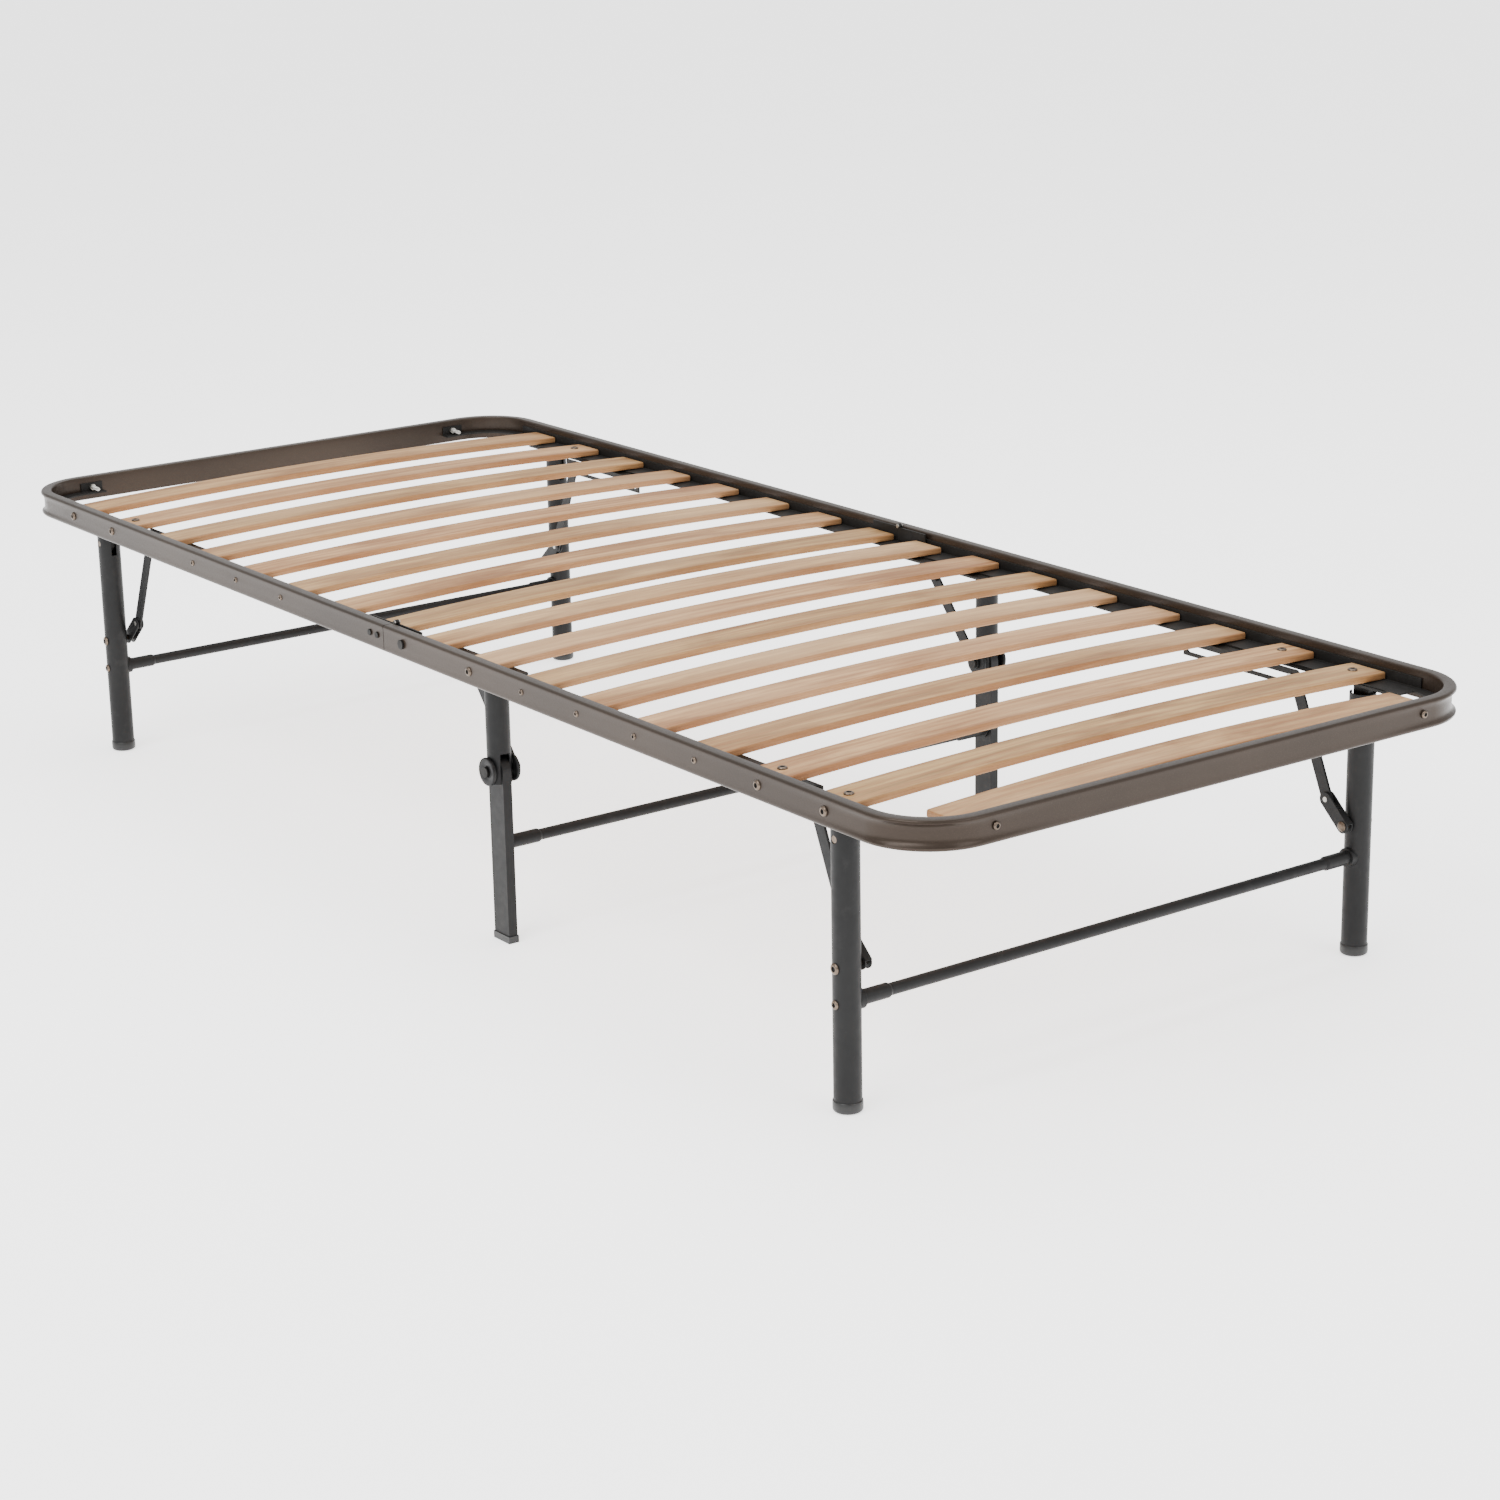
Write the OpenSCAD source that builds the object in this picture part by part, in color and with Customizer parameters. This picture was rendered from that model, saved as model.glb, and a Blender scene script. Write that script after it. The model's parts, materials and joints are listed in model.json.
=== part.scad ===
// Folding metal bed frame: two hinged rail halves, bowed wooden slats,
// folding corner legs with jointed braces, and folding middle legs.
// Origin on the floor under the middle of the bed; +X to the foot, +Z up.

/* [Frame] */
// Overall length of the frame, over the end rails
bed_l = 1905; // [1900:5:1920]
// Overall width of the frame, over the side rails
bed_w = 762; // [740:2:780]
// Height of the rail's top face above the floor
rail_top = 330; // [325:1:335]
// Height of the rail section
rail_h = 31; // [30:1:32]
// Thickness of the rail section
rail_t = 14; // [13:0.5:14]
// Outer radius of the frame's corners
corner_r = 80; // [80:2:90]
// Wall of the rail tube
rail_wall = 1.5; // [1:0.1:2]

/* [Slats] */
// Width of a slat
slat_w = 50; // [46:1:54]
// Thickness of a slat
slat_t = 8; // [7:0.5:9]
// Rise of a slat's middle above its ends
slat_crown = 8; // [4:1:8]
// Gap from the rail's inner face to a slat's end
slat_end_gap = 3.5; // [3:0.5:5]

/* [Corner legs] */
// Outer diameter of a leg tube
leg_d = 28.6; // [27:0.2:28.6]
// Distance from the rail's outer face to a leg's axis
leg_in = 32; // [32:0.5:33]
// Place of the head legs along the frame
head_leg_x = -761.5; // [-765:0.5:-755]
// Place of the foot legs along the frame
foot_leg_x = 805.5; // [800:0.5:810]
// Height of the leg hinges above the floor
leg_hinge_z = 281; // [280:0.5:282]
// Height of the crossbars above the floor
crossbar_z = 113; // [110:1:116]
// Diameter of the crossbars
crossbar_d = 12.7; // [12:0.1:14]

/* [Middle legs] */
// Place of the middle legs along the frame
middle_leg_x = 185.5; // [180:0.5:190]
// Outer diameter of the fixed upper tubes
middle_tube_d = 27; // [26:0.5:27]
// Height of the folding pivot above the floor
middle_pivot_z = 199; // [195:1:200]

/* [Hidden] */

$fn = 48;
far = 5000;
eps = 0.01;
fit = 0.05;

// Rail section
rail_z = rail_top - rail_h;
bead_h = 6;
web_in = 2;
seam_gap = 1;

// Slat ledge: an angle inside the rail
ledge_t = 2;
ledge_w = 33;
ledge_top = rail_top - 19;
ledge_lip = 11;
ledge_end_y = 270;
corner_ledge_w = 14;

// Slats, from the head to the foot: an even run in each half
head_run = [for (i = [0 : 7]) -809 + 111 * i];
foot_run = [for (i = [0 : 8]) 61 + 105.4 * i];
slat_x = concat(head_run, foot_run);
head_slats = [0 : 7];
foot_slats = [8 : 16];
last_slat = 16;
last_slat_half = 310;
slat_half = bed_w / 2 - rail_t - slat_end_gap;
seam_slats = [7, 8];
seam_slat_half = bed_w / 2 - rail_t - 7;
slat_steps = 12;
screw_z = ledge_top + slat_t / 2;
screw_bite = 14;
screw_shift = 15;
screw_r = 2;
small_head_r = 3.6;
big_head_r = 5.4;
small_screws_head = [3, 4, 5];
big_screws_head = [0, 1];
small_screws_foot = [10, 11, 12, 13];
big_screws_foot = [9, 14, 15];

// End bolts
end_bolt_y = bed_w / 2 - 96;
end_bolt_z = ledge_top + 5;
end_bolt_r = 2.5;
end_head_r = 4.4;
nut_r = 4.6;
nut_h = 4;

// Fold hinge
fold_z = rail_top + 0.5;
fold_ear_r = 3;
fold_pin_r = 1.5;
leaf_t = 2;
leaf_head_u = rail_t + ledge_t + 0.2;
leaf_foot_u = leaf_head_u + leaf_t + 0.2;
leaf_len = 52;
leaf_low = ledge_top + 0.5;
leaf_rivet_r = 2;
leaf_rivets_x = [-30, -14];
leaf_bolt_x = 40;
leaf_screw_z = screw_z + 1;

// Leg brackets
plate_t = 3;
plate_z = ledge_top - ledge_t - plate_t;
plate_u0 = 18;
plate_u1 = 48;
plate_x0 = -45;
plate_x1 = 125;
tongue_t = 6;
tongue_w = 22;
leg_pin_r = 4;
bracket_bolt_u = 42;
bracket_bolt_r = 2.5;
bracket_slats_head = [1];
bracket_slats_foot = [14, 15];

// Legs
leg_r = leg_d / 2;
leg_wall = 1.5;
leg_top = leg_hinge_z + 15;
leg_slot_w = 7;
cap_h = 12;
cap_wall = 1;
cap_floor = 3;

// Brace: link on the leg, strap above it, and the track that holds the strap's top
brace_z = 150;
brace_pin_r = 3.5;
elbow_x = 26;
elbow_z = 174;
strap_top_x = 80;
strap_top_z = 299;
brace_half_w = 8;
link_t = 1.5;
link_u0 = 48.6;
link_u1 = 55.6;
strap_u0 = 52;
strap_t = 3;
strap_waist = 0.5;
elbow_pin_r = 3;
track_u = 58;
track_t = 2;
track_x0 = 70;
track_x1 = 247;
track_low = 290;
track_flange_u = 36;
track_flange_t = 1.5;
track_slot_z = 298.3;
track_slot_r = 4.1;
track_slot_end = 237.5;
strap_pin_r = 2.5;
rivet_head_r = 6;
rivet_head_h = 2.2;

// Crossbar ends
sleeve_r = 7.8;
sleeve_l = 40;
collar_r = 10.5;
collar_reach = 3;
weld_depth = 5;
bar_wall = 1.35;
bar_rivet_r = 3;

// Middle legs
middle_r = middle_tube_d / 2;
flat_w = 30;
flat_t = 11;
fork_gap = 12;
fork_top = middle_pivot_z + 20.5;
middle_tube_low = middle_pivot_z - 14;
disc_r = 16;
disc_t = 4;
disc_gap = 0.2;
middle_pin_r = 4;
middle_strap_u = leg_in + middle_r + disc_gap + disc_t + 0.3;
middle_strap_t = 3;
middle_strap_x = -80;
middle_strap_z = 297;
middle_plate_x0 = -135;
middle_plate_x1 = 22;
middle_plate_u1 = 60;
middle_cap_h = 8;

frame_paint = [0.40, 0.34, 0.30];
leg_paint = [0.23, 0.23, 0.23];
dark_steel = [0.13, 0.13, 0.13];
cap_black = [0.06, 0.06, 0.06];
birch = [0.78, 0.66, 0.53];
zinc = [0.75, 0.75, 0.77];

// ---- Placing ----

module both_sides() {
  children();
  mirror([0, 1, 0]) children();
}

// Places what is drawn in the near rail's own frame: x along it, y inwards from its outer face.
module near_rail(x = 0) {
  translate([x, -bed_w / 2, 0]) children();
}

module far_rail(x = 0) {
  mirror([0, 1, 0]) near_rail(x) children();
}

module side_rails(x = 0) {
  both_sides() near_rail(x) children();
}

// A corner leg's frame has +X towards the middle of the bed.
module leg_near(end) {
  near_rail(end == "head" ? head_leg_x : foot_leg_x)
    mirror([end == "head" ? 0 : 1, 0, 0]) children();
}

module leg_pair(end) {
  both_sides() leg_near(end) children();
}

module pin(r, u0, u1, x = 0, z = 0) {
  translate([x, u0, z]) rotate([-90, 0, 0]) cylinder(r = r, h = u1 - u0);
}

// A flat bar with round eyes at its ends, standing in the XZ plane between u0 and u1.
// With a waist, the bar is that much narrower and a little thinner than its eyes.
module flat_bar(x0, z0, x1, z1, half_w, u0, u1, waist = 0) {
  angle = atan2(z1 - z0, x1 - x0);
  length = norm([x1 - x0, z1 - z0]);
  thin = waist / 4;
  pin(half_w, u0, u1, x0, z0);
  pin(half_w, u0, u1, x1, z1);
  translate([x0, u0 + thin, z0]) rotate([0, -angle, 0]) translate([0, 0, waist - half_w])
    cube([length, u1 - u0 - 2 * thin, 2 * (half_w - waist)]);
}

// ---- Rails ----

function rail_outline(inset) = [
  [inset, inset],
  [rail_t - inset, inset],
  [rail_t - inset, rail_h - inset],
  [inset, rail_h - inset],
  [inset, rail_h - bead_h],
  [web_in + inset, rail_h - bead_h - web_in],
  [web_in + inset, bead_h + web_in],
  [inset, bead_h]
];

// The next three sweep an outline (x inwards from the rail's outer face, y up) round the foot half.
module side_run(outline, x0) {
  both_sides() translate([x0, -bed_w / 2, 0]) rotate([90, 0, 90])
    linear_extrude(bed_l / 2 - corner_r - x0) polygon(outline);
}

module corner_run(outline) {
  turned = [for (p = outline) [corner_r - p[0], p[1]]];
  both_sides() translate([bed_l / 2 - corner_r, -bed_w / 2 + corner_r, 0]) rotate([0, 0, -90])
    rotate_extrude(angle = 90) polygon(turned);
}

module end_run(outline, end_y) {
  both_sides() translate([bed_l / 2, -bed_w / 2 + corner_r, 0]) rotate([0, 0, 90]) rotate([90, 0, 90])
    linear_extrude(bed_w / 2 - corner_r - end_y) polygon(outline);
}

module sweep_half(outline, x0, end_y) {
  side_run(outline, x0);
  corner_run(outline);
  end_run(outline, end_y);
}

module screw_holes(xs) {
  for (x = xs) side_rails(x) pin(screw_r + fit, -1, rail_t + ledge_t + 1, 0, screw_z);
}

module end_bolt_holes() {
  for (s = [-1, 1]) translate([bed_l / 2 + 1, s * end_bolt_y, end_bolt_z]) rotate([0, -90, 0])
    cylinder(r = end_bolt_r + fit, h = rail_t + ledge_t + 2);
}

module rail_half() {
  difference() {
    translate([0, 0, rail_z]) sweep_half(rail_outline(0), seam_gap / 2, 0);
    translate([0, 0, rail_z]) sweep_half(rail_outline(rail_wall), 0, 0);
    end_bolt_holes();
  }
}

function at_slats(list, shift = 0) = [for (i = list) slat_x[i] + shift];

module head_rail() {
  color(frame_paint) difference() {
    mirror([1, 0, 0]) rail_half();
    screw_holes(at_slats(concat(small_screws_head, big_screws_head), screw_shift));
    for (x = leaf_rivets_x) side_rails(x) pin(leaf_rivet_r + fit, -1, rail_t + 1, 0, leaf_screw_z);
  }
}

module foot_rail() {
  color(frame_paint) difference() {
    rail_half();
    screw_holes(at_slats(concat(small_screws_foot, big_screws_foot), screw_shift));
    side_rails(leaf_bolt_x) pin(screw_r + fit, -1, rail_t + 1, 0, leaf_screw_z);
  }
}

// ---- Ledges ----

// A ledge's section: a flange under the slats and a lip up the rail's inner face.
function ledge_outline(width, lip) = [
  [rail_t, -ledge_t], [rail_t + width, -ledge_t], [rail_t + width, 0],
  [rail_t + ledge_t, 0], [rail_t + ledge_t, lip], [rail_t, lip]
];

// The ledge narrows at the corner, where it has no lip, and ends in a short bolted tab.
module ledges_foot() {
  flat_corner = [
    [rail_t, -ledge_t], [rail_t + corner_ledge_w, -ledge_t], [rail_t + corner_ledge_w, 0], [rail_t, 0]
  ];
  difference() {
    translate([0, 0, ledge_top]) {
      side_run(ledge_outline(ledge_w, ledge_lip), seam_gap / 2);
      corner_run(flat_corner);
      end_run(ledge_outline(corner_ledge_w, ledge_lip), ledge_end_y);
    }
    end_bolt_holes();
  }
}

module near_half() {
  translate([-far / 2, -far, 0]) cube([far, far, far]);
}

module ledge_holes(screws, leaves, bolts) {
  screw_holes(screws);
  for (x = leaves) side_rails(x) pin(screw_r + fit, -1, rail_t + ledge_t + 1, 0, leaf_screw_z);
  for (x = bolts) side_rails(x) bracket_bolt_hole();
}

module bracket_bolt_hole() {
  translate([0, bracket_bolt_u, plate_z - 1]) cylinder(r = bracket_bolt_r + fit, h = 30);
}

module ledge_head() {
  color(dark_steel) intersection() {
    difference() {
      mirror([1, 0, 0]) ledges_foot();
      ledge_holes(at_slats(concat(small_screws_head, big_screws_head), screw_shift), leaf_rivets_x,
                  at_slats(bracket_slats_head));
    }
    near_half();
  }
}

module ledge_foot() {
  color(dark_steel) intersection() {
    difference() {
      ledges_foot();
      ledge_holes(at_slats(concat(small_screws_foot, big_screws_foot), screw_shift), [leaf_bolt_x],
                  at_slats(bracket_slats_foot));
    }
    near_half();
  }
}

// ---- Slats ----

function bow(y, half) = slat_crown * (1 - pow(y / half, 2));

function slat_outline(half) = concat(
  [for (i = [0 : slat_steps]) let(y = -half + 2 * half * i / slat_steps) [y, bow(y, half)]],
  [for (i = [slat_steps : -1 : 0]) let(y = -half + 2 * half * i / slat_steps) [y, bow(y, half) + slat_t]]
);

function has(list, i) = len(search(i, list)) > 0;

// Slat i, counted from 0 at the head.
module slat(i) {
  half = i == last_slat ? last_slat_half : has(seam_slats, i) ? seam_slat_half : slat_half;
  screwed = concat(small_screws_head, big_screws_head, small_screws_foot, big_screws_foot);
  bolted = concat(bracket_slats_head, bracket_slats_foot);
  color(birch) difference() {
    translate([slat_x[i] - slat_w / 2, 0, ledge_top]) rotate([90, 0, 90])
      linear_extrude(slat_w) polygon(slat_outline(half));
    if (has(screwed, i)) side_rails(slat_x[i] + screw_shift)
      pin(screw_r + fit, 0, rail_t + slat_end_gap + screw_bite + 1, 0, screw_z);
    if (has(bolted, i)) side_rails(slat_x[i]) bracket_bolt_hole();
  }
}

// ---- Fasteners ----

module slat_screw(head_r) {
  head_h = head_r * 0.4;
  pin(head_r, -head_h, 0);
  pin(screw_r, -eps, rail_t + slat_end_gap + screw_bite);
}

module slat_screws(small, big) {
  color(zinc) {
    for (x = at_slats(small, screw_shift)) side_rails(x) translate([0, 0, screw_z]) slat_screw(small_head_r);
    for (x = at_slats(big, screw_shift)) side_rails(x) translate([0, 0, screw_z]) slat_screw(big_head_r);
  }
}

// The bolts through the end rail, whose shanks stand out of their nuts by reach.
module end_bolts(reach) {
  for (s = [-1, 1]) translate([bed_l / 2, s * end_bolt_y, end_bolt_z]) rotate([0, -90, 0]) {
    translate([0, 0, -rivet_head_h]) cylinder(r = end_head_r, h = rivet_head_h);
    translate([0, 0, -eps]) cylinder(r = end_bolt_r, h = rail_t + ledge_t + nut_h + reach);
    translate([0, 0, rail_t + ledge_t]) cylinder(r = nut_r, h = nut_h, $fn = 6);
  }
}

// A bolt down through a slat, its ledge and the bracket plate.
module bracket_bolt(half = slat_half) {
  y = bed_w / 2 - bracket_bolt_u;
  top = ledge_top + slat_t + bow(y, half);
  translate([0, bracket_bolt_u, plate_z]) cylinder(r = bracket_bolt_r, h = top - plate_z + 1);
  translate([0, bracket_bolt_u, top + 0.3]) cylinder(r = big_head_r, h = 2);
}

module bracket_bolts(slats) {
  color(dark_steel) for (x = at_slats(slats)) side_rails(x) bracket_bolt();
}

// ---- Fold hinge ----

// One leaf of the fold hinge, reaching from the seam to +X.
module fold_leaf(u, screws) {
  difference() {
    union() {
      translate([seam_gap / 2, u, leaf_low]) cube([leaf_len, leaf_t, rail_top - 1 - leaf_low]);
      translate([0, u, fold_z - 2 * fold_ear_r]) cube([fold_ear_r, leaf_t, 2 * fold_ear_r]);
      pin(fold_ear_r, u, u + leaf_t, 0, fold_z);
    }
    pin(fold_pin_r + fit, u - 1, u + leaf_t + 1, 0, fold_z);
    for (x = screws) pin(leaf_rivet_r + fit, u - 1, u + leaf_t + 1, x, leaf_screw_z);
  }
}

module fold_leaves_head() {
  color(dark_steel) side_rails() mirror([1, 0, 0]) fold_leaf(leaf_head_u, [for (x = leaf_rivets_x) -x]);
  color(zinc) for (x = leaf_rivets_x) side_rails(x) {
    pin(small_head_r, -1.2, 0, 0, leaf_screw_z);
    pin(leaf_rivet_r, -eps, leaf_head_u + leaf_t, 0, leaf_screw_z);
  }
}

module fold_leaves_foot() {
  color(dark_steel) side_rails() fold_leaf(leaf_foot_u, [leaf_bolt_x]);
  color(zinc) side_rails(leaf_bolt_x) {
    pin(big_head_r, -rivet_head_h, 0, 0, leaf_screw_z);
    pin(leaf_rivet_r, -eps, leaf_foot_u + leaf_t, 0, leaf_screw_z);
  }
}

module fold_pins() {
  color(zinc) side_rails() {
    pin(fold_ear_r - 0.5, leaf_head_u - 1.4, leaf_head_u - 0.2, 0, fold_z);
    pin(fold_pin_r, leaf_head_u - 0.3, leaf_foot_u + leaf_t + 0.3, 0, fold_z);
    pin(fold_ear_r - 0.5, leaf_foot_u + leaf_t + 0.2, leaf_foot_u + leaf_t + 1.4, 0, fold_z);
  }
}

// ---- Leg brackets ----

// The plate under the ledge, with the tongue that the leg turns on.
module leg_bracket(bolt_xs) {
  difference() {
    union() {
      translate([plate_x0, plate_u0, plate_z]) cube([plate_x1 - plate_x0, plate_u1 - plate_u0, plate_t]);
      translate([-tongue_w / 2, leg_in - tongue_t / 2, leg_hinge_z])
        cube([tongue_w, tongue_t, plate_z - leg_hinge_z + eps]);
      pin(tongue_w / 2, leg_in - tongue_t / 2, leg_in + tongue_t / 2, 0, leg_hinge_z);
    }
    pin(leg_pin_r + fit, 0, 2 * leg_in, 0, leg_hinge_z);
    for (x = bolt_xs) translate([x, 0, 0]) bracket_bolt_hole();
  }
}

module leg_brackets_head() {
  color(dark_steel) leg_pair("head") leg_bracket([for (x = at_slats(bracket_slats_head)) x - head_leg_x]);
}

module leg_brackets_foot() {
  color(dark_steel) leg_pair("foot") leg_bracket([for (x = at_slats(bracket_slats_foot)) foot_leg_x - x]);
}

// An angle under the ledge. Its web has the slot, and its flange starts clear of the leg's plate.
module brace_track() {
  ledge_under = ledge_top - ledge_t;
  difference() {
    union() {
      translate([track_x0, track_u, track_low])
        cube([track_x1 - track_x0, track_t, ledge_under - track_low]);
      translate([plate_x1 + 1, track_flange_u, ledge_under - track_flange_t])
        cube([track_x1 - plate_x1 - 1, track_u + track_t - track_flange_u, track_flange_t]);
    }
    flat_bar(strap_top_x, track_slot_z, track_slot_end, track_slot_z, track_slot_r,
             track_u - 1, track_u + track_t + 1);
  }
}

module brace_tracks(end) {
  color(dark_steel) leg_pair(end) brace_track();
}

// ---- Corner legs ----

module leg_tube() {
  difference() {
    translate([0, leg_in, cap_floor]) cylinder(r = leg_r, h = leg_top - cap_floor);
    translate([0, leg_in, cap_floor - 1]) cylinder(r = leg_r - leg_wall, h = leg_top - cap_floor + 2);
    translate([0, leg_in - leg_slot_w / 2, leg_hinge_z - 15]) cube([leg_d, leg_slot_w, 40]);
    pin(leg_pin_r + fit, 0, 2 * leg_in, 0, leg_hinge_z);
    pin(brace_pin_r + fit, 0, 2 * leg_in, 0, brace_z);
    pin(bar_rivet_r + fit, 0, 2 * leg_in, 0, crossbar_z);
  }
}

module leg_cap() {
  translate([0, leg_in, 0]) difference() {
    cylinder(r = leg_r + cap_wall, h = cap_h);
    translate([0, 0, cap_floor]) cylinder(r = leg_r + fit, h = cap_h);
  }
}

module leg_rivets() {
  skin = leg_in - leg_r;
  inner = leg_in + leg_r;
  pin(leg_pin_r, skin + 0.3, inner - 0.3, 0, leg_hinge_z);
  pin(rivet_head_r, skin - rivet_head_h, skin, 0, brace_z);
  pin(brace_pin_r, skin - eps, link_u1 + link_t + 0.4, 0, brace_z);
  pin(rivet_head_r, link_u1 + link_t + 0.3, link_u1 + link_t + 2.6, 0, brace_z);
  pin(rivet_head_r - 1, skin - rivet_head_h, skin, 0, crossbar_z);
  pin(bar_rivet_r, skin - eps, inner + 20, 0, crossbar_z);
}

// A round crossbar with thicker ends, from u = start on one side to the same on the other.
module crossbar(x, start, collar_l) {
  half = bed_w / 2 - start;
  translate([x, 0, crossbar_z]) rotate([-90, 0, 0]) difference() {
    union() {
      translate([0, 0, -half]) cylinder(d = crossbar_d, h = 2 * half);
      for (s = [0, 1]) mirror([0, 0, s]) {
        translate([0, 0, half - sleeve_l]) cylinder(r = sleeve_r, h = sleeve_l);
        translate([0, 0, half - sleeve_l - 3]) cylinder(r1 = crossbar_d / 2, r2 = sleeve_r, h = 3);
        translate([0, 0, half - collar_l]) cylinder(r = collar_r, h = collar_l);
      }
    }
    translate([0, 0, -half - 1]) cylinder(r = crossbar_d / 2 - bar_wall, h = 2 * half + 2);
  }
}

module leg_crossbar(end) {
  color(leg_paint) difference() {
    crossbar(end == "head" ? head_leg_x : foot_leg_x, leg_in + leg_r - weld_depth, collar_reach + weld_depth);
    leg_pair(end) translate([0, leg_in, 0]) cylinder(r = leg_r + fit, h = rail_z);
  }
}

// ---- Braces ----

link_len = norm([elbow_x, elbow_z - brace_z]);
link_angle = atan2(elbow_z - brace_z, elbow_x);

module brace_link() {
  difference() {
    union() {
      flat_bar(0, brace_z, elbow_x, elbow_z, brace_half_w, link_u0, link_u0 + link_t);
      flat_bar(0, brace_z, elbow_x, elbow_z, brace_half_w, link_u1, link_u1 + link_t);
      translate([0, link_u0, brace_z]) rotate([0, -link_angle, 0]) translate([-4, 0, brace_half_w - link_t])
        cube([20, link_u1 + link_t - link_u0, link_t]);
    }
    pin(brace_pin_r + fit, 0, 2 * leg_in, 0, brace_z);
    pin(elbow_pin_r + fit, 0, 2 * leg_in, elbow_x, elbow_z);
  }
}

module brace_strap() {
  difference() {
    flat_bar(elbow_x, elbow_z, strap_top_x, strap_top_z, brace_half_w,
             strap_u0, strap_u0 + strap_t, strap_waist);
    pin(elbow_pin_r + fit, 0, 2 * leg_in, elbow_x, elbow_z);
    pin(strap_pin_r + fit, 0, 2 * leg_in, strap_top_x, strap_top_z);
  }
}

module strap_pin() {
  pin(strap_pin_r, strap_u0 - 1.5, track_u + track_t + 1, strap_top_x, strap_top_z);
  pin(2 * strap_pin_r, strap_u0 - 1.8, strap_u0 - fit, strap_top_x, strap_top_z);
  pin(2 * strap_pin_r, track_u + track_t + 0.3, track_u + track_t + 2, strap_top_x, strap_top_z);
}

module elbow_pin() {
  pin(elbow_pin_r, link_u0 - 0.3, link_u1 + link_t + 0.4, elbow_x, elbow_z);
}

// ---- Middle legs ----

module middle_pair() {
  side_rails(middle_leg_x) children();
}

module middle_tube() {
  difference() {
    translate([0, leg_in, middle_tube_low]) cylinder(r = middle_r, h = plate_z - middle_tube_low);
    translate([0, leg_in, middle_tube_low - 1])
      cylinder(r = middle_r - leg_wall, h = plate_z - middle_tube_low - 3);
    translate([-middle_tube_d, leg_in - fork_gap / 2, middle_tube_low - 1])
      cube([2 * middle_tube_d, fork_gap, fork_top - middle_tube_low + 1]);
    pin(middle_pin_r + fit, 0, 2 * leg_in, 0, middle_pivot_z);
  }
}

module middle_bracket() {
  ear_u = middle_strap_u + middle_strap_t + 0.2;
  difference() {
    union() {
      translate([middle_plate_x0, plate_u0, plate_z])
        cube([middle_plate_x1 - middle_plate_x0, middle_plate_u1 - plate_u0, plate_t]);
      translate([middle_strap_x - 12, ear_u, middle_strap_z - 9])
        cube([24, 3, plate_z - middle_strap_z + 9 + eps]);
    }
    pin(elbow_pin_r + fit, 0, 3 * leg_in, middle_strap_x, middle_strap_z);
  }
}

module middle_strap() {
  u = middle_strap_u;
  difference() {
    flat_bar(0, middle_pivot_z, middle_strap_x, middle_strap_z, brace_half_w,
             u, u + middle_strap_t, strap_waist);
    pin(middle_pin_r + fit, 0, 3 * leg_in, 0, middle_pivot_z);
    pin(elbow_pin_r + fit, 0, 3 * leg_in, middle_strap_x, middle_strap_z);
  }
}

module middle_strap_pin() {
  u = middle_strap_u;
  pin(elbow_pin_r, u - 1, u + middle_strap_t + 4, middle_strap_x, middle_strap_z);
  pin(2 * elbow_pin_r, u - 1.5, u - fit, middle_strap_x, middle_strap_z);
}

module pivot_disc_pair() {
  for (u = [leg_in - middle_r - disc_gap - disc_t, leg_in + middle_r + disc_gap])
    difference() {
      pin(disc_r, u, u + disc_t, 0, middle_pivot_z);
      pin(middle_pin_r + fit, u - 1, u + disc_t + 1, 0, middle_pivot_z);
    }
}

module middle_pivot_bolt() {
  outer = leg_in - middle_r - disc_gap - disc_t;
  inner = middle_strap_u + middle_strap_t;
  pin(rivet_head_r, outer - rivet_head_h, outer, 0, middle_pivot_z);
  pin(middle_pin_r, outer - eps, inner + 0.3, 0, middle_pivot_z);
  pin(rivet_head_r, inner + 0.2, inner + 0.2 + rivet_head_h, 0, middle_pivot_z);
}

module middle_leg() {
  difference() {
    union() {
      translate([-flat_w / 2, leg_in - flat_t / 2, 2]) cube([flat_w, flat_t, middle_pivot_z - 2]);
      pin(flat_w / 2, leg_in - flat_t / 2, leg_in + flat_t / 2, 0, middle_pivot_z);
    }
    translate([-flat_w / 2 + leg_wall, leg_in - flat_t / 2 + leg_wall, 1])
      cube([flat_w - 2 * leg_wall, flat_t - 2 * leg_wall, middle_pivot_z - 25]);
    pin(middle_pin_r + fit, 0, 2 * leg_in, 0, middle_pivot_z);
  }
}

module middle_cap() {
  difference() {
    translate([-flat_w / 2 - cap_wall, leg_in - flat_t / 2 - cap_wall, 0])
      cube([flat_w + 2 * cap_wall, flat_t + 2 * cap_wall, middle_cap_h]);
    translate([-flat_w / 2, leg_in - flat_t / 2, 2]) cube([flat_w, flat_t, middle_cap_h]);
  }
}

// ---- Assembly ----

head_rail();
foot_rail();
ledge_head();  // ledge_head_near
mirror([0, 1, 0]) ledge_head();  // ledge_head_far
ledge_foot();  // ledge_foot_near
mirror([0, 1, 0]) ledge_foot();  // ledge_foot_far
for (i = [0 : last_slat]) slat(i);
slat_screws(small_screws_head, big_screws_head);  // slat_screws_head
slat_screws(small_screws_foot, big_screws_foot);  // slat_screws_foot
color(zinc) mirror([1, 0, 0]) end_bolts(16);  // end_bolts_head
color(zinc) end_bolts(1);  // end_bolts_foot
fold_leaves_head();
fold_leaves_foot();
fold_pins();
leg_brackets_head();
leg_brackets_foot();
color(dark_steel) middle_pair() middle_bracket();  // middle_brackets
brace_tracks("head");  // brace_tracks_head
brace_tracks("foot");  // brace_tracks_foot
bracket_bolts(bracket_slats_head);  // bracket_bolts_head
bracket_bolts(bracket_slats_foot);  // bracket_bolts_foot
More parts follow.
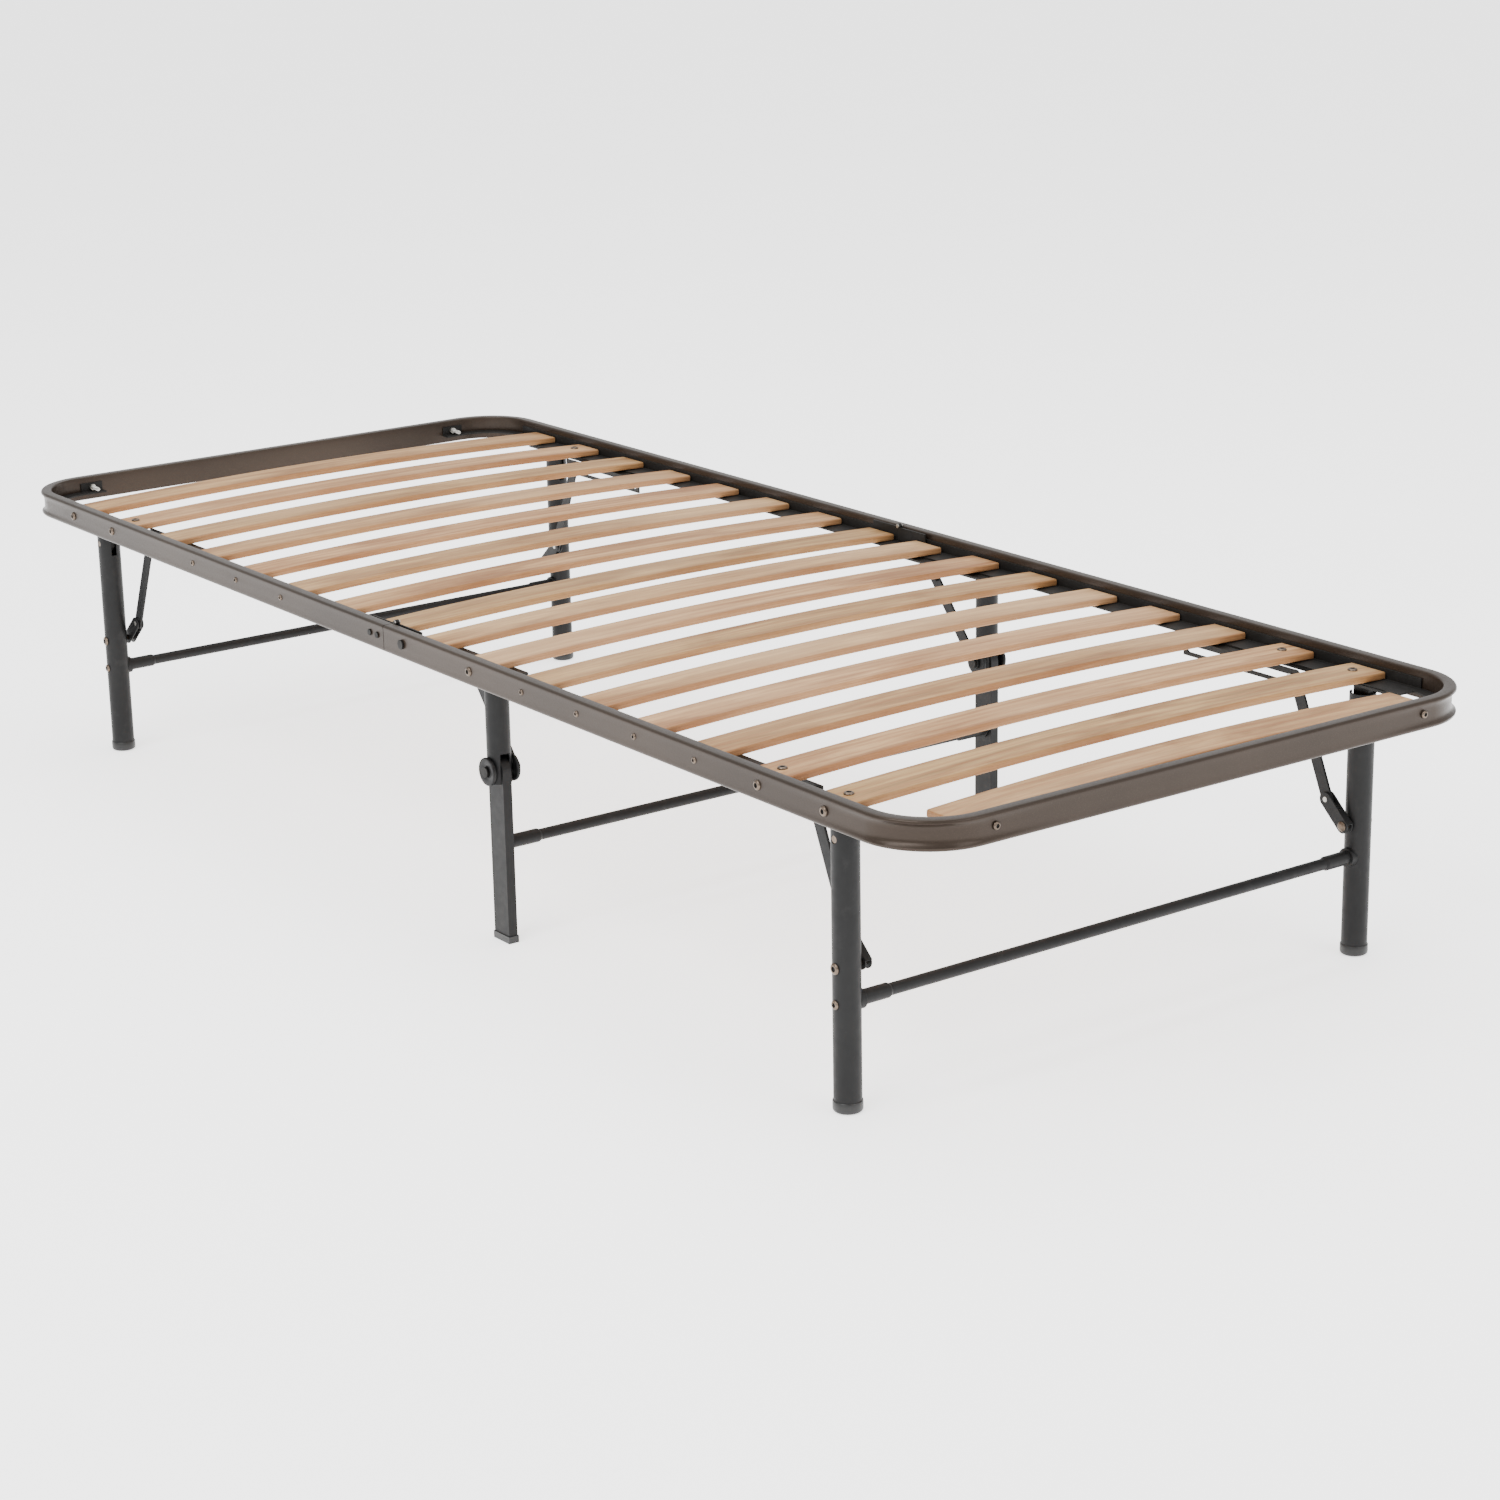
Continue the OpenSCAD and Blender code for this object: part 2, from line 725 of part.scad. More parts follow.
color(leg_paint) leg_near("head") leg_tube();  // head_leg_near
color(leg_paint) mirror([0, 1, 0]) leg_near("head") leg_tube();  // head_leg_far
color(leg_paint) leg_near("foot") leg_tube();  // foot_leg_near
color(leg_paint) mirror([0, 1, 0]) leg_near("foot") leg_tube();  // foot_leg_far
leg_crossbar("head");  // head_crossbar
leg_crossbar("foot");  // foot_crossbar
color(cap_black) leg_pair("head") leg_cap();  // leg_caps_head
color(cap_black) leg_pair("foot") leg_cap();  // leg_caps_foot
color(zinc) leg_pair("head") leg_rivets();  // head_leg_rivets
color(zinc) leg_pair("foot") leg_rivets();  // foot_leg_rivets
color(dark_steel) leg_pair("head") brace_link();  // brace_links_head
color(dark_steel) leg_pair("foot") brace_link();  // brace_links_foot
color(leg_paint) leg_pair("head") brace_strap();  // brace_straps_head
color(leg_paint) leg_pair("foot") brace_strap();  // brace_straps_foot
color(zinc) leg_pair("head") elbow_pin();  // elbow_pins_head
color(zinc) leg_pair("foot") elbow_pin();  // elbow_pins_foot
color(zinc) leg_pair("head") strap_pin();  // strap_pins_head
color(zinc) leg_pair("foot") strap_pin();  // strap_pins_foot
color(leg_paint) middle_pair() middle_tube();  // middle_tubes
color(leg_paint) middle_pair() middle_strap();  // middle_straps
color(zinc) middle_pair() middle_strap_pin();  // middle_strap_pins
color(leg_paint) middle_pair() pivot_disc_pair();  // pivot_discs
color(zinc) middle_pair() middle_pivot_bolt();  // middle_pivot_bolts
color(leg_paint) middle_pair() middle_leg();  // middle_legs
color(leg_paint)  // middle_crossbar
  crossbar(middle_leg_x, leg_in + flat_t / 2, collar_reach);
color(cap_black) middle_pair() middle_cap();  // middle_caps
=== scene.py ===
import json
import math

import bmesh
import bpy
from mathutils import Matrix, Vector


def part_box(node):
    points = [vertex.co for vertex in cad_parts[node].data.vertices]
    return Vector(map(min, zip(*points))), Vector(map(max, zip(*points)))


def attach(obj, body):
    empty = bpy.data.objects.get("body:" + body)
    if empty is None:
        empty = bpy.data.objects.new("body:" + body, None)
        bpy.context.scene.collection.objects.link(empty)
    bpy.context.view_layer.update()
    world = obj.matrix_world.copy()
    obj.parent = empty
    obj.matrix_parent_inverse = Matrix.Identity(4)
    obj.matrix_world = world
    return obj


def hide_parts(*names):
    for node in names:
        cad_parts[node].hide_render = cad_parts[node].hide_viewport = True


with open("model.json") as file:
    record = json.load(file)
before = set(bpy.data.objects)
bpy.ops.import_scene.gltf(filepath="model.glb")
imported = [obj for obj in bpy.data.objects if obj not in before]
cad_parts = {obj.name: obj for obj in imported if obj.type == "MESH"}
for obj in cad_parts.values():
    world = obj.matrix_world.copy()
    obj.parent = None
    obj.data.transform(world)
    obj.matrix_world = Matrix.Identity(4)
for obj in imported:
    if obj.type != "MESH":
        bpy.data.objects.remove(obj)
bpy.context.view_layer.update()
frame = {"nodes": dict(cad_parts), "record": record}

MM = 0.001
RECORD = frame["record"]

# ---- Sizes read from the CAD ----

RAIL_LO, RAIL_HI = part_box("foot_rail")
HALF_L = RAIL_HI.x
HALF_W = RAIL_HI.y
RAIL_LOW = RAIL_LO.z
RAIL_H = RAIL_HI.z - RAIL_LOW
SEAM = RAIL_LO.x

# ---- Sizes the frame's boxes don't give, as the CAD has them ----

RAIL_T = 14 * MM
CORNER_R = 80 * MM
SLAT_T = 8 * MM
LIP_T = 2 * MM
SLAT_COUNT = 17

# ---- Detail that only the visible pieces have ----

BEAD_R = 3.1 * MM
INNER_EDGE_R = 2 * MM
WEB_DRAW_IN = 0.3 * MM
CORNER_DRAW_IN = 4.3 * MM
CORNER_LEAD = 90 * MM
LEAD_SHARE = 0.35
TUBE_WALL = 1.5 * MM
TUBE_MOUTH = 30 * MM
HEAD_SINK = 0.72 * MM
NUT_R = 4.6 * MM
NUT_H = 4 * MM
NUT_CHAMFER = 0.5 * MM
THREAD_R = 2.5 * MM
THREAD_PITCH = 0.8 * MM
BOLT_HEAD_H = 2.2 * MM
BIG_RIVET_R = 4.2 * MM
THROUGH_RIVET_R = 5.5 * MM
INNER_RIVET_H = 2.3 * MM
DISC_EDGE_R = 1.3 * MM
CAP_EDGE_R = 3.2 * MM
SLAT_EDGE_R = 1.6 * MM
CORNER_STEPS = 16
SIDE_STEPS = 14
END_STEPS = 10
WEB_STEPS = 12
# Steps of the golden ratio keep neighbouring slats' tones apart.
GOLDEN = 0.6180339


# ---- Materials ----

class Nodes:
    """A material's node tree, built by short calls."""

    def __init__(self, name):
        self.mat = bpy.data.materials.new(name)
        self.mat.use_nodes = True
        self.tree = self.mat.node_tree
        self.tree.nodes.clear()
        self.out = self.tree.nodes.new("ShaderNodeOutputMaterial")
        self.bsdf = self.tree.nodes.new("ShaderNodeBsdfPrincipled")
        self.link(self.bsdf.outputs[0], self.out.inputs[0])

    def link(self, a, b):
        self.tree.links.new(a, b)

    def put(self, socket, value):
        if isinstance(value, bpy.types.NodeSocket):
            self.link(value, socket)
        elif value is not None:
            socket.default_value = value

    def node(self, kind, ins=(), **props):
        n = self.tree.nodes.new(kind)
        for k, v in props.items():
            setattr(n, k, v)
        for k, v in dict(ins).items():
            self.put(n.inputs[k], v)
        return n

    def coords(self, scale=(1, 1, 1), shift=None):
        tex = self.node("ShaderNodeTexCoord")
        m = self.node("ShaderNodeMapping", {"Vector": tex.outputs["Object"], "Scale": scale})
        if shift is not None:
            self.put(m.inputs["Location"], shift)
        return m.outputs[0]

    def noise(self, vector, scale, detail=3.0, rough=0.5, distortion=0.0):
        n = self.node("ShaderNodeTexNoise", {
            "Vector": vector, "Scale": scale, "Detail": detail,
            "Roughness": rough, "Distortion": distortion})
        return n.outputs[0]

    def ramp(self, fac, lo, hi, out_lo=0.0, out_hi=1.0):
        n = self.node("ShaderNodeMapRange", {
            "Value": fac, "From Min": lo, "From Max": hi, "To Min": out_lo, "To Max": out_hi})
        return n.outputs[0]

    def mix(self, fac, a, b, mode="MIX"):
        n = self.node("ShaderNodeMix", data_type="RGBA", blend_type=mode)
        self.put(n.inputs[0], fac)
        self.put(n.inputs[6], a)
        self.put(n.inputs[7], b)
        return n.outputs[2]

    def math(self, op, a, b=0.0):
        n = self.node("ShaderNodeMath", operation=op)
        self.put(n.inputs[0], a)
        self.put(n.inputs[1], b)
        return n.outputs[0]

    def bump(self, height, strength, distance, normal=None):
        n = self.node("ShaderNodeBump", {
            "Height": height, "Strength": strength, "Distance": distance})
        if normal is not None:
            self.link(normal, n.inputs["Normal"])
        return n.outputs[0]

    def soft_edges(self, radius):
        """A normal that rounds off hard edges by that radius, in metres."""
        return self.node("ShaderNodeBevel", {"Radius": radius}, samples=4).outputs[0]

    def surface(self, colour, rough, metallic=0.0, normal=None, **more):
        self.put(self.bsdf.inputs["Base Color"], colour)
        self.put(self.bsdf.inputs["Roughness"], rough)
        self.put(self.bsdf.inputs["Metallic"], metallic)
        if normal is not None:
            self.link(normal, self.bsdf.inputs["Normal"])
        for k, v in more.items():
            self.put(self.bsdf.inputs[k.replace("_", " ")], v)
        return self.mat


def linear(r, g, b):
    """An sRGB colour of 0-255 as the linear colour that a shader takes."""
    def one(c):
        c /= 255
        return c / 12.92 if c <= 0.04045 else ((c + 0.055) / 1.055) ** 2.4
    return (one(r), one(g), one(b), 1.0)


def bronze_paint():
    n = Nodes("rail_bronze_paint")
    at = n.coords()
    cloud = n.noise(at, 3.0, 3.0, 0.55)
    flake = n.noise(at, 1500.0, 2.0, 0.6)
    grain = n.noise(at, 420.0, 4.0, 0.6)
    rub = n.ramp(n.noise(n.coords((0.25, 0.25, 3.0)), 30.0, 4.0, 0.6), 0.55, 0.75)
    base = n.mix(n.ramp(cloud, 0.35, 0.65), linear(42, 34, 28), linear(54, 44, 36))
    base = n.mix(n.ramp(flake, 0.56, 0.72, 0.0, 0.2), base, linear(98, 83, 70))
    rough = n.ramp(grain, 0.3, 0.7, 0.30, 0.40)
    rough = n.math("ADD", rough, n.math("MULTIPLY", rub, 0.05))
    normal = n.bump(grain, 0.12, 0.0004)
    return n.surface(base, rough, 0.45, normal, Specular_IOR_Level=0.22,
                     Coat_Weight=0.06, Coat_Roughness=0.2)


def black_paint(name, dark, light, rough_lo, rough_hi, metallic=0.0):
    n = Nodes(name)
    at = n.coords()
    cloud = n.noise(at, 6.0, 4.0, 0.6)
    peel = n.noise(at, 650.0, 3.0, 0.6)
    dust = n.ramp(n.noise(at, 45.0, 5.0, 0.65), 0.56, 0.8, 0.0, 0.25)
    base = n.mix(n.ramp(cloud, 0.35, 0.65), dark, light)
    base = n.mix(dust, base, linear(60, 59, 58))
    rough = n.ramp(n.noise(at, 110.0, 4.0, 0.6), 0.3, 0.7, rough_lo, rough_hi)
    normal = n.bump(peel, 0.14, 0.0004, n.soft_edges(0.0008))
    return n.surface(base, rough, metallic, normal, Specular_IOR_Level=0.2)


def cap_plastic():
    n = Nodes("cap_plastic")
    at = n.coords()
    scuff = n.ramp(n.noise(n.coords((1, 1, 6)), 70.0, 5.0, 0.65), 0.52, 0.75)
    base = n.mix(scuff, linear(9, 9, 9), linear(22, 22, 21))
    rough = n.ramp(scuff, 0.0, 1.0, 0.38, 0.6)
    return n.surface(base, rough, 0.0, n.bump(n.noise(at, 800.0, 2.0), 0.1, 0.0003))


def zinc_plate(name="zinc_plate", tint=(186, 184, 178)):
    n = Nodes(name)
    at = n.coords()
    cloud = n.noise(at, 60.0, 4.0, 0.6)
    fine = n.noise(at, 900.0, 3.0, 0.6)
    base = n.mix(n.ramp(cloud, 0.35, 0.7), linear(*tint), linear(*(c * 0.72 for c in tint)))
    rough = n.ramp(fine, 0.3, 0.7, 0.24, 0.40)
    return n.surface(base, rough, 0.9, n.bump(fine, 0.1, 0.0002, n.soft_edges(0.0004)))


def birch():
    """Wood whose grain runs along Y. Each slat carries its own tone and shift as mesh attributes."""
    n = Nodes("slat_birch")
    tone, edge, ply = (n.node("ShaderNodeAttribute", attribute_name=k).outputs["Fac"]
                       for k in ("tone", "edge", "ply"))
    shift = n.node("ShaderNodeAttribute", attribute_name="shift").outputs["Vector"]
    fibre = n.noise(n.coords((1.0, 0.05, 1.0), shift), 620.0, 5.0, 0.62)
    band = n.noise(n.coords((1.0, 0.10, 1.0), shift), 42.0, 4.0, 0.55, 0.9)
    figure = n.node("ShaderNodeTexWave", {
        "Vector": n.coords((1.0, 0.035, 0.6), shift), "Scale": 26.0,
        "Distortion": 7.0, "Detail": 3.0, "Detail Scale": 1.4, "Detail Roughness": 0.6},
        wave_type="BANDS", bands_direction="X").outputs[0]
    cloud = n.noise(n.coords((1.0, 0.35, 1.0), shift), 5.0, 3.0, 0.5)
    pores = n.ramp(n.noise(n.coords((1.0, 0.03, 1.0), shift), 1400.0, 2.0), 0.62, 0.75)
    pale = n.mix(tone, linear(192, 152, 110), linear(174, 142, 96))
    warm = n.mix(tone, linear(140, 100, 66), linear(124, 94, 58))
    base = n.mix(n.ramp(band, 0.36, 0.66), pale, warm)
    base = n.mix(n.ramp(figure, 0.35, 1.0, 0.0, 0.38), base, linear(140, 90, 56))
    base = n.mix(n.ramp(fibre, 0.42, 0.75, 0.0, 0.32), base, linear(116, 74, 48))
    base = n.mix(n.ramp(cloud, 0.5, 0.75, 0.0, 0.45), base, linear(210, 178, 138))
    base = n.mix(n.math("MULTIPLY", pores, 0.35), base, linear(80, 48, 28))
    # The edge attribute darkens the plywood's side and end edges, which is their own colour, and the
    # underside, which is painted shade.
    base = n.mix(n.math("MULTIPLY", edge, 0.5), base, linear(128, 80, 44))
    layers = n.node("ShaderNodeMath", operation="FRACT")
    n.put(layers.inputs[0], n.math("MULTIPLY", ply, 3.0))
    glue = n.ramp(layers.outputs[0], 0.80, 0.95)
    base = n.mix(n.math("MULTIPLY", n.math("MULTIPLY", glue, edge), 0.45), base, linear(96, 62, 40))
    rough = n.ramp(fibre, 0.3, 0.7, 0.46, 0.60)
    normal = n.bump(fibre, 0.22, 0.0004)
    normal = n.bump(pores, 0.15, -0.0003, normal)
    return n.surface(base, rough, 0.0, normal, Specular_IOR_Level=0.18)


BRONZE = bronze_paint()
LEG_BLACK = black_paint("leg_black_paint", linear(16, 16, 17), linear(24, 24, 24), 0.42, 0.54)
BRACKET_BLACK = black_paint("bracket_dark_steel", linear(22, 21, 20), linear(32, 30, 28), 0.45, 0.6, 0.2)
CAP = cap_plastic()
ZINC = zinc_plate()
DULL = zinc_plate("aged_screw", (112, 98, 86))
# Painted shade: the hex recess inside each screw head is painted near black, standing in for the shade
# that falls in it.
RECESS_SHADE = black_paint("screw_recess_painted_shade", linear(20, 19, 18), linear(32, 30, 28), 0.5, 0.65)
BIRCH = birch()

LOOKS = {
    "rail_paint": BRONZE, "leg_paint": LEG_BLACK, "bracket_steel": BRACKET_BLACK,
    "slat_wood": BIRCH, "zinc": ZINC, "cap_plastic": CAP,
}


def paint_cad():
    """Gives each CAD node the look of its material slot in the record."""
    for part in RECORD["subparts"]:
        mesh = frame["nodes"][part["node"]].data
        mesh.materials.clear()
        mesh.materials.append(LOOKS[part["material_slot"]])


# ---- Mesh building ----

def finish_mesh(name, bm, mats, smooth_deg=40):
    bmesh.ops.recalc_face_normals(bm, faces=bm.faces)
    mesh = bpy.data.meshes.new(name)
    bm.to_mesh(mesh)
    bm.free()
    for m in mats:
        mesh.materials.append(m)
    mesh.shade_smooth()
    mesh.set_sharp_from_angle(angle=math.radians(smooth_deg))
    obj = bpy.data.objects.new(name, mesh)
    bpy.context.scene.collection.objects.link(obj)
    return obj


def loft(bm, rings, caps=True):
    """Joins rings of points, each as long as the next, into a skin, and caps its ends if asked."""
    loops = [[bm.verts.new(p) for p in ring] for ring in rings]
    count = len(loops[0])
    for a, b in zip(loops, loops[1:]):
        for i in range(count):
            j = (i + 1) % count
            bm.faces.new((a[i], a[j], b[j], b[i]))
    if caps:
        bm.faces.new(list(reversed(loops[0])))
        bm.faces.new(loops[-1])
    return loops


def lathe(bm, profile, place, sides=24, mats=None):
    """Turns a profile of (radius, height) about the local Z of place. Zero radii close to a point."""
    rings = []
    for r, h in profile:
        if r < 1e-7:
            rings.append([bm.verts.new(place @ Vector((0, 0, h)))])
        else:
            rings.append([bm.verts.new(place @ Vector((
                r * math.cos(2 * math.pi * i / sides), r * math.sin(2 * math.pi * i / sides), h)))
                for i in range(sides)])
    for k, (a, b) in enumerate(zip(rings, rings[1:])):
        mat = mats[k] if mats else 0
        for i in range(sides):
            j = (i + 1) % sides
            if len(a) == 1:
                bm.faces.new((a[0], b[j], b[i])).material_index = mat
            elif len(b) == 1:
                bm.faces.new((a[i], a[j], b[0])).material_index = mat
            else:
                bm.faces.new((a[i], a[j], b[j], b[i])).material_index = mat


# ---- Rails ----

def arc(cx, cz, r, start, stop, steps):
    return [(cx + r * math.cos(math.radians(start + (stop - start) * i / steps)),
             cz + r * math.sin(math.radians(start + (stop - start) * i / steps)))
            for i in range(steps + 1)]


def rail_profile(draw_in):
    """The rail's section as (inwards, up) in metres: rounded top and bottom beads, and a web drawn in."""
    t, h, bead, edge = RAIL_T, RAIL_H, BEAD_R, INNER_EDGE_R
    pts = arc(bead, h - bead, bead, 180, 90, 6)
    pts += arc(t - edge, h - edge, edge, 90, 0, 4)
    pts += arc(t - edge, edge, edge, 0, -90, 4)
    pts += arc(bead, bead, bead, 270, 180, 6)
    low, high = bead + 0.6 * MM, h - bead - 0.6 * MM
    for i in range(WEB_STEPS + 1):
        f = i / WEB_STEPS
        flat = min(1.0, 3.2 * min(f, 1 - f))
        pts.append((draw_in * (1 - (1 - flat) ** 2.2), low + (high - low) * f))
    return pts


def rail_path(sign):
    """Stations round one half of the frame: place, inward direction and how far into a corner it is."""
    out = []
    xs = HALF_L - CORNER_R
    ys = HALF_W - CORNER_R
    for i in range(SIDE_STEPS + 1):
        x = SEAM + (xs - SEAM) * (i / SIDE_STEPS)
        near = max(0.0, 1 - (xs - x) / CORNER_LEAD)
        out.append((Vector((x, -HALF_W, 0)), Vector((0, 1, 0)), near * LEAD_SHARE))
    for i in range(1, CORNER_STEPS + 1):
        a = math.pi / 2 * i / CORNER_STEPS
        d = Vector((math.sin(a), -math.cos(a), 0))
        into = LEAD_SHARE + (1 - LEAD_SHARE) * math.sin(math.pi * i / CORNER_STEPS)
        out.append((Vector((xs, -ys, 0)) + d * CORNER_R, -d, into))
    for i in range(1, END_STEPS + 1):
        y = -ys * (1 - i / END_STEPS)
        near = max(0.0, 1 - (y + ys) / CORNER_LEAD)
        out.append((Vector((HALF_L, y, 0)), Vector((-1, 0, 0)), near * LEAD_SHARE))
    mirror = [(Vector((p.x, -p.y, 0)), Vector((d.x, -d.y, 0)), w) for p, d, w in reversed(out[:-1])]
    path = out + mirror
    return [(Vector((sign * p.x, p.y, 0)), Vector((sign * d.x, d.y, 0)), w) for p, d, w in path]


def rail(name, body, node, sign):
    """One half's bent tube, drawn in along its web and most of all at the corners."""
    bm = bmesh.new()
    rings = []
    for p, d, into in rail_path(sign):
        section = rail_profile(WEB_DRAW_IN + CORNER_DRAW_IN * into)
        rings.append([p + d * u + Vector((0, 0, RAIL_LOW + z)) for u, z in section])
    loops = loft(bm, rings, caps=False)
    # The tube's open ends at the seam: the wall's edge, then a short way down the inside.
    for loop in (loops[0], loops[-1]):
        mid = sum((v.co for v in loop), Vector()) / len(loop)
        inner = []
        for v in loop:
            along = v.co - mid
            size = along.length
            inner.append(bm.verts.new(mid + along * max(0.1, (size - TUBE_WALL * 1.2) / size)))
        deep = [bm.verts.new(v.co + Vector((sign * TUBE_MOUTH, 0, 0))) for v in inner]
        n = len(loop)
        for a, b in ((loop, inner), (inner, deep)):
            for i in range(n):
                j = (i + 1) % n
                bm.faces.new((a[i], a[j], b[j], b[i]))
        bm.faces.new(deep)
    obj = finish_mesh(name, bm, [BRONZE])
    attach(obj, body)
    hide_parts(node)


# ---- Slats ----

def slat_section(w, t, r):
    """A slat's section as (across, up), with rounded edges."""
    pts = []
    for cx, cz, a in ((w / 2 - r, t - r, 0), (-w / 2 + r, t - r, 90),
                      (-w / 2 + r, r, 180), (w / 2 - r, r, 270)):
        for i in range(5):
            ang = math.radians(a + 90 * i / 4)
            pts.append((cx + r * math.cos(ang), cz + r * math.sin(ang)))
    dense = []
    for (x0, z0), (x1, z1) in zip(pts, pts[1:] + pts[:1]):
        dense.append((x0, z0))
        long = abs(x1 - x0) > w / 3
        high = abs(z1 - z0) > t / 3
        for k in range(1, 6 if long else (3 if high else 1)):
            f = k / (6 if long else 3)
            dense.append((x0 + (x1 - x0) * f, z0 + (z1 - z0) * f))
    return dense


def slat(i):
    """A slat that rises to its crown at mid width, with rounded edges and slightly drawn-in ends."""
    node = f"slat_{i}"
    lo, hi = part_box(node)
    body = "head_frame" if node in HEAD_NODES else "foot_frame"
    mid_x, w = (lo.x + hi.x) / 2, hi.x - lo.x
    half = hi.y
    thick = SLAT_T
    crown = hi.z - lo.z - thick
    bm = bmesh.new()
    section = slat_section(w, thick, SLAT_EDGE_R)
    stations = 36
    rings = []
    for k in range(stations + 1):
        y = -half + 2 * half * k / stations
        ease = min(1.0, (half - abs(y)) / (1.2 * MM) + 0.12)
        rise = crown * (1 - (y / half) ** 2)
        shrink = (1 - ease) * MM
        rings.append([Vector((mid_x + x * (1 - 2 * shrink / w), y,
                              lo.z + rise + thick / 2 + (z - thick / 2) * (1 - 2 * shrink / thick)))
                      for x, z in section])
    # An extra ring near each end keeps the end's rounding short.
    for at, y in ((1, -half + 1.1 * MM), (len(rings), half - 1.1 * MM)):
        rise = crown * (1 - (y / half) ** 2)
        rings.insert(at, [Vector((mid_x + x, y, lo.z + rise + z)) for x, z in section])
    loft(bm, rings)
    tone = (i * GOLDEN) % 1.0
    obj = finish_mesh(f"bowed_slat_{i}", bm, [BIRCH], 50)
    mesh = obj.data
    data = {k: mesh.attributes.new(k, "FLOAT", "POINT").data for k in ("tone", "edge", "ply")}
    shifts = mesh.attributes.new("shift", "FLOAT_VECTOR", "POINT").data
    for v in mesh.vertices:
        rise = crown * (1 - (v.co.y / half) ** 2)
        level = (v.co.z - lo.z - rise) / thick
        side = max(0.0, (abs(v.co.x - mid_x) - w / 2 + 2.2 * MM) / (2.2 * MM))
        end = 1.0 if abs(v.co.y) > half - 0.6 * MM else 0.0
        # Painted shade: the underside is darkened here, more towards the bottom of the slat.
        underside_shade = max(0.0, 0.45 - level)
        data["tone"][v.index].value = tone
        data["edge"][v.index].value = min(1.0, max(side, end, underside_shade))
        data["ply"][v.index].value = level
        shifts[v.index].vector = (1.7 * i, 0.43 * i, 0.9 * i)
    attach(obj, body)
    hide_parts(node)


# ---- Fasteners ----

def outward(axis):
    """Turns +Z to the given direction."""
    return Vector(axis).to_track_quat("Z", "Y").to_matrix().to_4x4()


def screw_head(bm, at, axis, r, h):
    """A round button head with a hexagonal recess. Slot 0 is the plating, slot 1 is painted shade: the
    recess is painted near black in place of the shade that falls in it.
    """
    place = Matrix.Translation(at) @ outward(axis)
    lathe(bm, [(r * 0.98, 0), (r, h * 0.18), (r * 0.94, h * 0.55), (r * 0.78, h * 0.88), (r * 0.60, h),
               (r * 0.50, h), (r * 0.47, h * 0.92), (r * 0.45, h * 0.30), (0, h * 0.20)],
          place, 24, [0, 0, 0, 0, 0, 0, 1, 1])


def dome(bm, at, axis, r, h):
    """A low rounded rivet head."""
    place = Matrix.Translation(at) @ outward(axis)
    profile = [(r, 0), (r, h * 0.15)]
    profile += [(r * math.cos(a), h * (0.15 + 0.85 * math.sin(a)))
                for a in (math.pi / 2 * k / 6 for k in range(1, 6))]
    lathe(bm, profile + [(0, h)], place)


def islands(node):
    """The loose pieces of a CAD node, as (lowest, highest) corners."""
    mesh = frame["nodes"][node].data
    parent = list(range(len(mesh.vertices)))

    def root(i):
        while parent[i] != i:
            parent[i] = parent[parent[i]]
            i = parent[i]
        return i

    spots = {}
    for v in mesh.vertices:
        key = tuple(round(c, 6) for c in v.co)
        if key in spots:
            parent[root(v.index)] = root(spots[key])
        else:
            spots[key] = v.index
    for e in mesh.edges:
        parent[root(e.vertices[0])] = root(e.vertices[1])
    groups = {}
    for v in mesh.vertices:
        groups.setdefault(root(v.index), []).append(v.co)
    out = []
    for pts in groups.values():
        lo = Vector(tuple(min(p[k] for p in pts) for k in range(3)))
        hi = Vector(tuple(max(p[k] for p in pts) for k in range(3)))
        out.append((lo, hi))
    return sorted(out, key=lambda b: tuple(round(c, 4) for c in (b[0].y, b[0].x, b[0].z)))


def slat_screws(half_name, body):
    """Heads on the rail's outer face, where the CAD has its screws."""
    node = f"slat_screws_{half_name}"
    bm = bmesh.new()
    for lo, hi in islands(node):
        side = -1 if lo.y < 0 else 1
        r = (hi.z - lo.z) / 2
        mid = (lo + hi) / 2
        outer = HALF_W - HEAD_SINK
        screw_head(bm, Vector((mid.x, side * outer, mid.z)), (0, side, 0), r, r * 0.4 + 0.6 * MM)
    obj = finish_mesh(f"screw_heads_{half_name}", bm, [DULL, RECESS_SHADE])
    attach(obj, body)
    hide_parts(node)


def prism(bm, at, axis, r, height, chamfer):
    """A hexagon nut with chamfered corners, standing on at along axis."""
    place = Matrix.Translation(at) @ outward(axis)
    flat = r * math.cos(math.pi / 6)
    rings = []
    for h, full in ((0, False), (chamfer, True), (height - chamfer, True), (height, False)):
        ring = []
        for i in range(36):
            a = 2 * math.pi * i / 36
            off = (a % (math.pi / 3)) - math.pi / 6
            reach = flat / math.cos(off)
            if not full:
                reach = min(reach, flat * 1.01)
            ring.append(place @ Vector((reach * math.cos(a), reach * math.sin(a), h)))
        rings.append(ring)
    loft(bm, rings)


